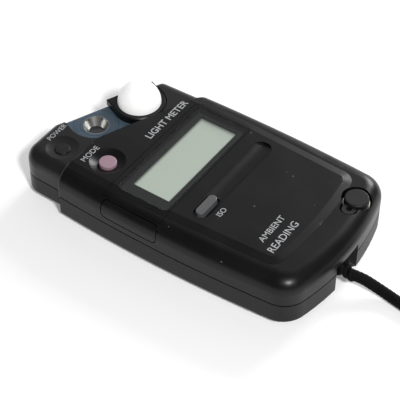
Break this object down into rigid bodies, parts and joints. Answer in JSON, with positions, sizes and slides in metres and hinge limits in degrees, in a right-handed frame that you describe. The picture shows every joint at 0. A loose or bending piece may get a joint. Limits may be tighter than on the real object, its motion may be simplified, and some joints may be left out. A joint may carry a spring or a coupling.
{
  "type": "handheld light meter",
  "caption": "Handheld light meter with a sliding white dome, wide display, side measuring key, push buttons and a wrist cord.",
  "frame": {"origin": "on the resting plane, under the middle of the case", "axes": "+X to the right when the display is read, +Y towards the dome end, +Z out of the display face"},
  "size_m": [0.0731, 0.174, 0.0265],
  "materials": {
    "case_plastic": "fine satin",
    "frame_plastic": "smooth",
    "key_plastic": "satin",
    "mode_plastic": "satin",
    "iso_plastic": "satin",
    "plate_plastic": "satin",
    "dome_plastic": "frosted",
    "window_plastic": "clear",
    "filter_glass": "clear",
    "lcd_glass": "matte grey",
    "holder_plastic": "moulded",
    "board": "solder mask",
    "chip": "moulded",
    "rubber": "smooth",
    "well_plastic": "white moulding",
    "sensor": "smooth",
    "steel": "plain",
    "chrome": "polished",
    "brass": "plain",
    "cream_plastic": "moulded",
    "battery_jacket": "gloss film",
    "cord": "braided",
    "label": "blank foil"
  },
  "bodies": {
    "case": {"front_case": "case_plastic", "rear_case": "case_plastic", "rear_label": "label", "case_seal": "rubber", "case_screws": "steel", "receptor_plate": "plate_plastic", "receptor_well": "well_plastic", "receptor_filter": "filter_glass", "photo_sensor": "sensor", "measure_key_pin": "steel", "display_frame": "frame_plastic", "display_window": "window_plastic", "lcd_panel": "lcd_glass", "lcd_holder": "holder_plastic", "lcd_connectors": "rubber", "main_board": "board", "key_switches": "chip", "processor_chip": "chip", "sync_sleeve": "chrome", "sync_insulator": "cream_plastic", "sync_contact": "brass", "battery": "battery_jacket", "positive_contact": "steel", "negative_contact": "steel", "battery_spring": "chrome", "strap_bar": "steel", "strap_hitch": "cord", "strap_cord": "cord", "strap_coil": "cord", "coil_tie": "rubber", "strap_knot": "cord"},
    "slider": {"dome_slider": "case_plastic", "dome": "dome_plastic"},
    "power_button": {"power_button": "key_plastic"},
    "mode_button": {"mode_button": "mode_plastic"},
    "iso_button": {"iso_button": "iso_plastic"},
    "measure_key": {"measure_key": "key_plastic"},
    "up_key": {"up_key": "key_plastic"},
    "down_key": {"down_key": "key_plastic"},
    "battery_door": {"battery_door": "case_plastic"},
    "terminal_cap": {"terminal_cap": "rubber"}
  },
  "joints": [
    {"name": "dome_slide", "type": "slide", "parent": "case", "child": "slider", "axis": [-0.9171, 0.3987, 0], "range_m": [0, 0.017]},
    {"name": "power_press", "type": "slide", "parent": "case", "child": "power_button", "axis": [0, 0, -1], "range_m": [0, 0.0005], "stiffness_N_per_m": 900},
    {"name": "mode_press", "type": "slide", "parent": "case", "child": "mode_button", "axis": [0, 0, -1], "range_m": [0, 0.0005], "stiffness_N_per_m": 900},
    {"name": "iso_press", "type": "slide", "parent": "case", "child": "iso_button", "axis": [0, 0, -1], "range_m": [0, 0.0005], "stiffness_N_per_m": 900},
    {"name": "measure_turn", "type": "hinge", "parent": "case", "child": "measure_key", "pos_m": [-0.0278, -0.0009, 0.0136], "axis": [-0.5, 0, -0.866], "range_deg": [0, 1.7], "stiffness_Nm_per_rad": 1},
    {"name": "up_press", "type": "slide", "parent": "case", "child": "up_key", "axis": [-1, 0, 0], "range_m": [0, 0.0005], "stiffness_N_per_m": 900},
    {"name": "down_press", "type": "slide", "parent": "case", "child": "down_key", "axis": [-1, 0, 0], "range_m": [0, 0.0005], "stiffness_N_per_m": 900},
    {"name": "door_slide", "type": "slide", "parent": "case", "child": "battery_door", "axis": [0, -1, 0], "range_m": [0, 0.006]},
    {"name": "cap_lift", "type": "slide", "parent": "case", "child": "terminal_cap", "axis": [0, 0, 1], "range_m": [0, 0.004]}
  ]
}
